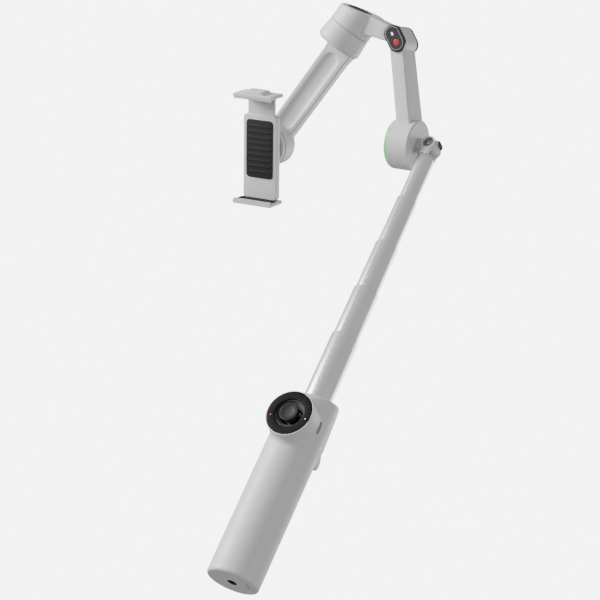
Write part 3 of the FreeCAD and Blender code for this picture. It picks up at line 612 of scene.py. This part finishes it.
# ------------------------------------------------------------ head
def ear_outline(lift):
    """Round ear on a narrower leg that stands on the stick's collar, in (x, -z) of the hinge."""
    def outline(inset):
        r, points = EAR_R - inset, []
        for i in range(57):
            a = math.radians(140 + 260 * i / 56)
            points.append((r * math.cos(a), r * math.sin(a)))
        leg = 3.5 - inset
        points += [(leg, lift * 0.62), (leg, lift), (-leg, lift), (-leg, lift * 0.62)]
        return points
    return outline


def knuckle():
    top = TUBE_TOP[-1]
    lift = PIVOT[2] - top - 0.3
    collar = block("collar", disc(7.5), top, top + 0.9, STICK, 0.2, 0.3)
    ears = [block("ear", ear_outline(lift), y, y + 3.0, PAN @ ALONG_Y, 0.45, 0.45) for y in (-8.0, 5.0)]
    yoke = joined("stick_yoke", [collar] + ears)
    recess = [sharp("recess", disc(4.3, 64), y, y + 2.8, PAN @ ALONG_Y) for y in (-9.1, 6.3)]
    combine(yoke, recess)
    piece(yoke, "shell", "section_5", "stick_yoke")
    heads = []
    for y0, y1 in ((-6.7, -4.9), (4.9, 6.7)):
        heads.append(block("head", disc(4.2, 64), y0, y1, PAN @ ALONG_Y, 0.35, 0.35))
    pin = joined("hinge_pin", heads + [block("shaft", disc(1.97, 48), -5.2, 5.2, PAN @ ALONG_Y)])
    sockets = [sharp("socket", disc(1.5, 6), y, y + 1.4, PAN @ ALONG_Y) for y in (-7.4, 6.0)]
    combine(pin, sockets)
    piece(pin, "satin", "section_5", "hinge_pin")

    lug = block("lug", disc(EAR_R, 72), -4.9, 4.9, PAN @ ALONG_Y, 0.35, 0.35)
    neck = sharp("neck", rounded_box(4.6, 4.9, 1.2), PAN_FACE - 0.6, 0, PAN @ ALONG_X)
    tail = block("tail", rounded_box(2.4, 4.9, 2.1), 0, 6.7, PAN @ shift(0, 0, 2.8) @ ALONG_X, 0.02, 0.3)
    plate = lathe("plate", soften([(0, PAN_FACE - 2.5), (18.9, PAN_FACE - 2.5), (18.9, PAN_FACE - 0.1),
                                   (17.4, PAN_FACE), (0, PAN_FACE)], [0, 0.3, 0.5, 0.3, 0]), PAN @ ALONG_X)
    hub = block("hub", disc(5.4, 64), PAN_FACE - 15, PAN_FACE - 2, PAN @ ALONG_X)
    bracket = joined("pan_bracket", [lug, neck, tail, plate, hub])
    piece(bracket, "shell", "knuckle", "pan_bracket")
    pad = block("stop_pad", rounded_box(1.9, 4.2, 1.6), 6.6, 7.4, PAN @ shift(0, 0, 2.8) @ ALONG_X, 0.05, 0.3)
    piece(pad, "rubber", "knuckle", "stop_pad")


def bell_radius(x):
    """Outside radius of the bell at an X of the pan frame."""
    inside = min(PAN_EDGE, max(0.0, PAN_END + PAN_EDGE - x))
    return PAN_R - PAN_EDGE + math.sqrt(PAN_EDGE ** 2 - inside ** 2)


def pan_bell():
    """Turning bell of the pan motor with its groove for the light."""
    profile = [(17.4, PAN_FACE - 0.4), (17.4, PAN_FACE - 20.5), (0, PAN_FACE - 20.5), (0, PAN_END)]
    low, high = LIGHT_X - 0.15, LIGHT_X + LIGHT_W + 0.15
    turns = [math.pi / 2 * i / 24 for i in range(25)]
    rim = [(PAN_R - PAN_EDGE * (1 - math.sin(t)), PAN_END + PAN_EDGE * (1 - math.cos(t))) for t in turns]
    profile += [p for p in rim if p[1] < low]
    profile += [(bell_radius(low), low), (bell_radius(low) - 1.3, low), (bell_radius(high) - 1.3, high),
                (bell_radius(high), high)]
    profile += [p for p in rim if p[1] > high]
    profile += [(PAN_R, PAN_FACE - 0.8), (PAN_R - 0.35, PAN_FACE - 0.4)]
    return lathe("pan_bell", profile, PAN @ ALONG_X, 180, 30)


def light_arc(name, start, sweep, sink, margin, count=72):
    """Curved strip let into the bell's shoulder; angles round the pan axis from +Y towards +Z."""
    verts, faces = [], []
    low, high = LIGHT_X + margin, LIGHT_X + LIGHT_W - margin
    top = [low + (high - low) * k / 6 for k in range(7)]
    section = [(bell_radius(x) - sink - (0.12 if k in (0, 6) else 0), x) for k, x in enumerate(top)]
    section += [(bell_radius(high) - 1.25, high), (bell_radius(low) - 1.25, low)]
    for i in range(count + 1):
        a = math.radians(start + sweep * i / count)
        for r, x in section:
            verts.append((x, r * math.cos(a), r * math.sin(a)))
    n = len(section)
    for i in range(count):
        for k in range(n):
            m = (k + 1) % n
            faces.append((i * n + k, i * n + m, (i + 1) * n + m, (i + 1) * n + k))
    faces += [tuple(range(n)), tuple(range(count * n, (count + 1) * n))[::-1]]
    return add_object(name, verts, faces, PAN)


def module_seats():
    """Cutters that clear the elbow in front of and behind its barrel."""
    outline = stadium(MODULE_R + 0.3, MODULE_SPAN)
    return [sharp("seat", outline, low, high, MODULE @ ALONG_Y)
            for low, high in ((-20, BEZEL_BACK), (COVER_FRONT, 20))]


def arms():
    levels = [(ARM_FOOT_D + (ARM_D - ARM_FOOT_D) * z / ARM_LENGTH, z) for z in (3, 20, 40, 60, ARM_LENGTH)]
    bar = layered("arm_bar", [(rounded_box(ARM_W, depth, 1.1)(0), z) for depth, z in levels], ARM)
    barrel = block("barrel", stadium(MODULE_R, MODULE_SPAN), BEZEL_BACK + 0.05, COVER_FRONT - 0.05,
                   MODULE @ ALONG_Y, 0.1, 0.1)
    arm = joined("pan_arm", [pan_bell(), bar])
    combine(arm, module_seats())
    piece(joined("pan_arm", [arm, barrel]), "shell", "arm", "pan_arm")
    glow = light_arc("light_ring", LIGHT_MIDDLE - LIGHT_SWEEP / 2, LIGHT_SWEEP, 0.0, 0.0)
    piece(glow, "green_glow", "arm", "light_ring")
    rest = 359.4 - LIGHT_SWEEP
    blank = light_arc("light_groove_fill", LIGHT_MIDDLE + LIGHT_SWEEP / 2 + 0.3, rest, 0.0, -0.14, 160)
    piece(blank, "shell", "arm")

    reach = TOP_LENGTH + 2
    levels = []
    for x in (-reach, -reach * 0.6, -reach * 0.3, 0):
        high, low = TOP_H - x * math.tan(math.radians(TOP_LEAN)), TOP_H - x / reach * TOP_GROWTH
        half, middle = (high + low) / 2, (high - low) / 2
        levels.append(([(u - middle, v) for u, v in rounded_box(half, ARM_D, 1.1)(0)], x))
    top_bar = layered("top_bar", levels, TOP @ ALONG_X)
    drum = upper_drum()
    low_cut = sharp("low_cut", disc(40, 64), -30, 0.02, ROLL)
    elbow_cut = sharp("elbow_cut", stadium(MODULE_R - 0.05, MODULE_SPAN), -22, 22, MODULE @ ALONG_Y)
    arm_cut = sharp("arm_cut", rounded_box(ARM_W - 0.02, 20, 0.1), -40, 0, ELBOW)
    combine(top_bar, [low_cut, elbow_cut, arm_cut] + module_seats())
    where = cap_place()
    pocket = sharp("pocket", disc(COVER_R + 0.1), -1.6, 1, where)
    combine(drum, [top_bar], "UNION")
    combine(drum, [pocket])
    drum.name = "upper_arm"
    piece(edged(drum, 0.18, 2, 50), "shell", "arm", "upper_arm")
    cap_profile = soften([(0, -1.6), (COVER_R, -1.6), (COVER_R, -0.3), (9.6, -0.25), (9.4, -0.5), (0, -0.42)],
                         [0, 0.1, 0.25, 0.2, 0.3, 0])
    cap = lathe("motor_cap", cap_profile, where, 128)
    piece(cap, "black", "arm", "motor_cap")


def upper_drum():
    """Fixed half of the inclined motor: a drum whose top is cut level with the arm."""
    count, edge = 144, 1.2
    to_top = TOP_FACE.inverted() @ ROLL
    axis = to_top.col[2].xyz
    rings = []
    levels = [(0.3, "low", 0.0), (0.0, "low", 0.3)]
    turns = [math.pi / 2 * k / 5 for k in range(6)]
    levels += [(edge * (1 - math.cos(t)), "high", edge * (1 - math.sin(t))) for t in turns]
    for inset, kind, drop in levels:
        ring = []
        for i in range(count):
            a = 2 * math.pi * i / count
            r = MOTOR_R - inset
            if kind == "low":
                h = drop
            else:
                foot = to_top @ Vector((r * math.cos(a), r * math.sin(a), 0))
                h = -foot.z / axis.z - drop
            ring.append((r * math.cos(a), r * math.sin(a), h))
        rings.append(ring)
    return skinned("upper_arm", rings, ROLL)


def cap_place():
    """Frame on the top face, set outward from where the roll axis meets it."""
    to_face = TOP_FACE.inverted() @ ROLL
    base, up = to_face.translation, to_face.col[2].xyz
    centre = base - up * (base.z / up.z)
    return TOP_FACE @ shift(centre.x + COVER_SHIFT, centre.y, 0)


def elbow_module():
    bezel = block("module_bezel", stadium(MODULE_R + 0.25, MODULE_SPAN), BEZEL_FRONT, BEZEL_BACK,
                  MODULE @ ALONG_Y, 0.7, 0.1)
    window = sharp("window", rounded_box(0.84, 1.44, 0.8), -20, 0, MODULE @ shift(0, 0, 3.9) @ ALONG_Y)
    button = sharp("button", disc(2.8, 64), -20, 0, MODULE @ shift(0, 0, -3.9) @ ALONG_Y)
    outer = sharp("outer", stadium(5.75, MODULE_SPAN), BEZEL_FRONT - 1, BEZEL_FRONT + 0.6, MODULE @ ALONG_Y)
    inner = sharp("inner", stadium(5.35, MODULE_SPAN), BEZEL_FRONT - 2, BEZEL_FRONT + 2, MODULE @ ALONG_Y)
    combine(outer, [inner])
    combine(bezel, [outer, window, button])
    piece(bezel, "bezel", "arm", "module_bezel")
    trim = block("module_trim", stadium(5.72, MODULE_SPAN), BEZEL_FRONT - 0.06, BEZEL_FRONT + 0.55,
                 MODULE @ ALONG_Y, 0.08, 0.02)
    inner = sharp("inner", stadium(5.38, MODULE_SPAN), BEZEL_FRONT - 2, BEZEL_FRONT + 2, MODULE @ ALONG_Y)
    combine(trim, [inner])
    piece(trim, "trim", "arm", "module_trim")
    # The window's white glow is a painted highlight: the window is no lamp, and its emission stands in for
    # the reflection on its glass.
    light = block("light_window", rounded_box(0.8, 1.4, 0.76), BEZEL_FRONT + 0.12, BEZEL_BACK,
                  MODULE @ shift(0, 0, 3.9) @ ALONG_Y, 0.2, 0.05)
    piece(light, "white_glow_and_painted_highlight", "arm", "light_window")
    profile = soften([(0, BEZEL_FRONT - 0.1), (1.7, BEZEL_FRONT - 0.12), (2.62, BEZEL_FRONT - 0.05),
                      (2.62, BEZEL_BACK + 0.4), (0, BEZEL_BACK + 0.4)], [0, 0.6, 0.25, 0.1, 0])
    head = lathe("record_button", profile, MODULE @ shift(0, 0, -3.9) @ ALONG_Y, 72)
    piece(head, "red", "record_button", "record_button")
    # Black rear plate of the module, made thicker and wider than the barrel so that its dark rim also paints
    # the shadow gap between the barrel and the arm: partly a real dark plate, partly painted shade.
    back = block("module_back", stadium(MODULE_R + 0.25, MODULE_SPAN), COVER_FRONT, COVER_BACK,
                 MODULE @ ALONG_Y, 0.1, 0.5)
    piece(back, "black", "arm", "module_back")


def lower_arm():
    """Turning half of the inclined motor, the dished arm below it and the last motor's case."""
    drum_profile = [(0, -0.3), (MOTOR_R - 0.3, -0.3), (MOTOR_R, -0.6), (MOTOR_R + 1.05, -LOWER_H + 4)]
    for i in range(1, 13):
        a = math.pi / 2 * i / 12
        drum_profile.append((MOTOR_R - 2.95 + 4 * math.cos(a), -LOWER_H + 4 - 4 * math.sin(a)))
    drum_profile += [(0, -LOWER_H)]
    drum = lathe("drum", drum_profile, ROLL, 144)
    reach = LOWER_LENGTH - LOWER_H + 4
    layers = []
    for k in range(41):
        t = k / 40
        flare = max(0.0, (t - 0.84) / 0.16) ** 2
        layers.append((rounded_box(10.3 + 0.8 * t + 2.2 * flare, 5.0 + 1.9 * flare, 1.5)(0), reach * t))
    bar = layered("bar", layers, BAR @ shift(-0.2, 0, 0))
    groove = stadium(7.0, reach - 40)
    dish_layers = [(groove(0), 9.0)]
    for k in range(11):
        a = math.pi / 2 * k / 10
        dish_layers.append((groove(6.2 * (1 - math.cos(a))), 5.05 - 2.1 * math.sin(a)))
    dish = layered("dish", dish_layers, BAR @ shift(-0.2, 0, 14 + (reach - 24) / 2) @ spin("X", 90))
    case = soften([(0, 21), (17.0, 21), (17.0, 36), (0, 36)], [0, 0.3, 3.0, 0], 8)
    shell = lathe("case", case, CLAMP @ ALONG_Y, 144)
    front = sharp("front", disc(70, 48), -60, 21.5, CLAMP @ ALONG_Y)
    combine(bar, [front, dish])
    edged(bar, 0.35, 3, 50)
    piece(joined("lower_arm", [bar, drum, shell]), "shell", "lower_arm", "lower_arm")


# ------------------------------------------------------------ springs
def coil(radius, wire, pitch, length, place):
    """Round wire wound round the Z axis of its place, with flat closed ends."""
    verts, faces, sides, steps = [], [], 8, int(26 * length / pitch)
    for i in range(steps + 1):
        t = i / steps
        a = 2 * math.pi * t * length / pitch
        for k in range(sides):
            b = 2 * math.pi * k / sides
            r = radius + wire * math.cos(b)
            h = wire + (length - 2 * wire) * t + wire * math.sin(b)
            verts.append((r * math.cos(a), r * math.sin(a), h))
    for i in range(steps):
        for k in range(sides):
            m = (k + 1) % sides
            faces.append((i * sides + k, i * sides + m, (i + 1) * sides + m, (i + 1) * sides + k))
    faces += [tuple(range(sides))[::-1], tuple(range(steps * sides, (steps + 1) * sides))]
    return add_object("coil", verts, faces, place)


def springs():
    """The trigger's return spring and the clamp's two pull springs."""
    push = coil(1.2, 0.22, 1.1, 4.36, shift(*TRIGGER_SPRING_FOOT) @ ALONG_Y)
    push.name = "trigger_spring"
    piece(push, "steel", "handle", "trigger_spring")
    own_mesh(push)
    pair = joined("clamp_springs", [coil(0.9, 0.25, 1.5, 21.0, CLAMP @ shift(x, SPRING_Y, SPRING_Z))
                                    for x in (-SPRING_X, SPRING_X)])
    piece(pair, "steel", "clamp", "clamp_springs")
    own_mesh(pair)


# ------------------------------------------------------------ clamp
def clamp():
    face = soften([(0, 17), (16.5, 17), (16.5, 20.5), (0, 20.5)], [0, 0.6, 0.3, 0])
    mount = lathe("clamp_mount", face, CLAMP @ ALONG_Y, 144)
    piece(mount, "shell", "clamp", "clamp_mount")
    plate = block("plate", rounded_box(15, 33.5, 3.0), PLATE_Y0, PLATE_Y1,
                  CLAMP @ shift(0, 0, -7.5) @ ALONG_Y, 0.7, 0.7)
    channel = sharp("channel", rounded_box(12.2, 1.3, 0.2), -30, 27, CLAMP @ shift(0, 12, 0))
    combine(plate, [channel])
    piece(joined("clamp_body", [plate, jaw_solid(-1)]), "shell", "clamp", "clamp_body")
    tongue = block("tongue", rounded_box(12, 1.15, 0.3), -3, GAP_HALF + 1, CLAMP @ shift(0, 12, 0), 0.2, 0.2)
    slots = [sharp("slot", rounded_box(1.7, 3, 0.3), -4, 22.5, CLAMP @ shift(x, SPRING_Y, 0))
             for x in (-SPRING_X, SPRING_X)]
    combine(tongue, slots)
    hump = block("hump", hump_outline, -2.2, 10.3, CLAMP @ ALONG_Y, 0.8, 0.8)
    piece(joined("sliding_jaw", [tongue, hump, jaw_solid(1)]), "shell", "jaw", "sliding_jaw")
    for sign, body, node in ((-1, "clamp", "lower_pad"), (1, "jaw", "upper_pad")):
        ribs = []
        z0, z1 = sorted((sign * (GAP_HALF - 0.8), sign * GAP_HALF))
        ends = (0.3, CRISP) if sign > 0 else (CRISP, 0.3)
        for k in range(16):
            place = CLAMP @ shift(-15 + 2 * k, 4.05, 0)
            ribs.append(block("rib", rounded_box(0.75, 4.7, 0.5, 4), z0, z1, place, *ends))
        middle = (z0 + z1) / 2 + 0.2 * sign
        sheet = sharp("sheet", rounded_box(16, 4.75, 1.0), middle - 0.05, middle + 0.05,
                      CLAMP @ shift(0, 4.05, 0))
        piece(joined(node, ribs + [sheet]), "rubber", body, node)
    pads = [block("pad", rounded_box(12, 23, 3.0), 8.4, PLATE_Y0,
                  CLAMP @ shift(0, 0, -1) @ ALONG_Y, 0.3, CRISP)]
    for k in range(9):
        place = CLAMP @ shift(0, 0, -19 + 4.5 * k) @ ALONG_Y
        pads.append(block("rib", rounded_box(10.2, 0.8, 0.7), 8.1, 8.6, place, 0.25, CRISP))
    piece(joined("back_pad", pads), "rubber", "clamp", "back_pad")


def hump_outline(inset):
    """Raised middle of the upper jaw seen from the front, in (x, -z) of the clamp frame."""
    low = GAP_HALF + 1.5
    top = 46.4 - inset
    points = [(12 - inset, low), (12 - inset, low + 0.1)]
    for i in range(9):
        a = math.radians(45 + 45 * i / 8)
        points.append((6.9 + 1.6 * math.cos(a) - inset * 0.5, top - 1.6 + 1.6 * math.sin(a)))
    points += [(-x, z) for x, z in reversed(points)]
    return [(x, -z) for x, z in points]


def jaw_solid(sign):
    """Shelf with a turned-in lip whose grip edge is toothed."""
    shelf = block("shelf", rounded_box(JAW_W, JAW_T / 2, 1.2), -3.0, PLATE_Y1,
                  CLAMP @ shift(0, 0, sign * (GAP_HALF + JAW_T / 2)) @ ALONG_Y, 0.5, 0.5)
    parts = [shelf]
    for k in range(17):
        tooth = block("tooth", rounded_box(0.8, 1.3, 0.45, 4), -3.0, -0.8,
                      CLAMP @ shift(-16 + 2 * k, 0, sign * (GAP_HALF + 0.1)) @ ALONG_Y, 0.25, 0.25)
        parts.append(tooth)
    return joined("jaw", parts)


handle_shell()
base_cap()
controls()
trigger()
tubes()
knuckle()
arms()
elbow_module()
lower_arm()
clamp()
springs()

# inner pieces that keep their CAD shape and only get a look
KEPT = {
    "charcoal": ["joystick_base", "joystick_yoke", "stick_sleeve", "battery_carrier",
                 "foot_bush_2", "foot_bush_3", "foot_bush_4", "foot_bush_5"],
    # usb_port is made near-black so that the slot reads dark: painted shade in the port's recess.
    "black": ["usb_port"],
    "steel": ["trigger_pin", "pan_shaft", "pan_bearings", "roll_shaft", "roll_bearings",
              "tilt_bearings", "steel_disc"],
    "magnet": ["pan_magnets", "roll_magnets", "tilt_magnets"],
    "copper": ["pan_stator", "roll_stator", "tilt_stator"],
    "board": ["main_board", "module_board"],
    "cell": ["battery_cell"],
}
for material, names in KEPT.items():
    for node in names:
        NODES[node].data.materials.clear()
        NODES[node].data.materials.append(M[material])

# ------------------------------------------------------------ stage, light, camera
FLOOR_Z = -1.15
floor = add_object("floor", [(-6000, -6000, 0), (6000, -6000, 0), (6000, 6000, 0), (-6000, 6000, 0)],
                   [(0, 1, 2, 3)], shift(0, 0, FLOOR_Z / MM))
pale = surface("floor", (0.92, 0.92, 0.91), 0.8, 60, 0.0002, vary=0.01)
pale_shader = pale.node_tree.nodes["Principled BSDF"]
pale_shader.inputs["Emission Color"].default_value = (0.95, 0.955, 0.96, 1)
pale_shader.inputs["Emission Strength"].default_value = 1.0
floor.data.materials.append(pale)
floor.visible_diffuse = False
floor.visible_glossy = False

world = bpy.data.worlds.new("studio")
bpy.context.scene.world = world
world.use_nodes = True
sky = world.node_tree.nodes["Background"]
sky.inputs["Color"].default_value = (0.95, 0.955, 0.96, 1)
sky.inputs["Strength"].default_value = 0.5
seen = world.node_tree.nodes.new("ShaderNodeBackground")
seen.inputs["Color"].default_value = (0.95, 0.955, 0.96, 1)
seen.inputs["Strength"].default_value = 7.0
path = world.node_tree.nodes.new("ShaderNodeLightPath")
both = world.node_tree.nodes.new("ShaderNodeMixShader")
world.node_tree.links.new(path.outputs["Is Camera Ray"], both.inputs[0])
world.node_tree.links.new(sky.outputs[0], both.inputs[1])
world.node_tree.links.new(seen.outputs[0], both.inputs[2])
world.node_tree.links.new(both.outputs[0], world.node_tree.nodes["World Output"].inputs["Surface"])


def softbox(name, place, target, size, power):
    light = bpy.data.lights.new(name, "AREA")
    light.shape, light.size, light.energy = "SQUARE", size, power
    obj = bpy.data.objects.new(name, light)
    bpy.context.scene.collection.objects.link(obj)
    obj.location = place
    obj.rotation_euler = (Vector(target) - Vector(place)).to_track_quat("-Z", "Y").to_euler()


softbox("key", (-1.4, -0.95, 0.5), (0, 0, 0.28), 0.9, 78)
softbox("fill", (1.6, -0.5, 0.1), (0, 0, 0.3), 0.6, 6)
softbox("rim", (0.3, 1.4, 1.0), (0, 0, 0.3), 0.9, 12)

# camera: it looks up at the object; the foot of the handle lies left of and below the line of sight
CAMERA_AZIMUTH, CAMERA_RISE, CAMERA_ROLL = -57.6154, -24.4944, 24.8645
CAMERA_DISTANCE, FOOT_RIGHT, FOOT_UP = 1670.0, -47.317, -196.712
turned = spin("Z", CAMERA_AZIMUTH + 90) @ spin("X", 90 - CAMERA_RISE) @ spin("Z", CAMERA_ROLL)
foot_seen = Vector((FOOT_RIGHT, FOOT_UP, -CAMERA_DISTANCE))
camera = bpy.data.objects.new("camera", bpy.data.cameras.new("camera"))
bpy.context.scene.collection.objects.link(camera)
camera.data.lens, camera.data.sensor_width = 144.0, 36.0
camera.data.clip_start, camera.data.clip_end = 0.05, 20.0
camera.matrix_world = Matrix.Translation(-(turned @ foot_seen) * MM) @ turned
bpy.context.scene.camera = camera
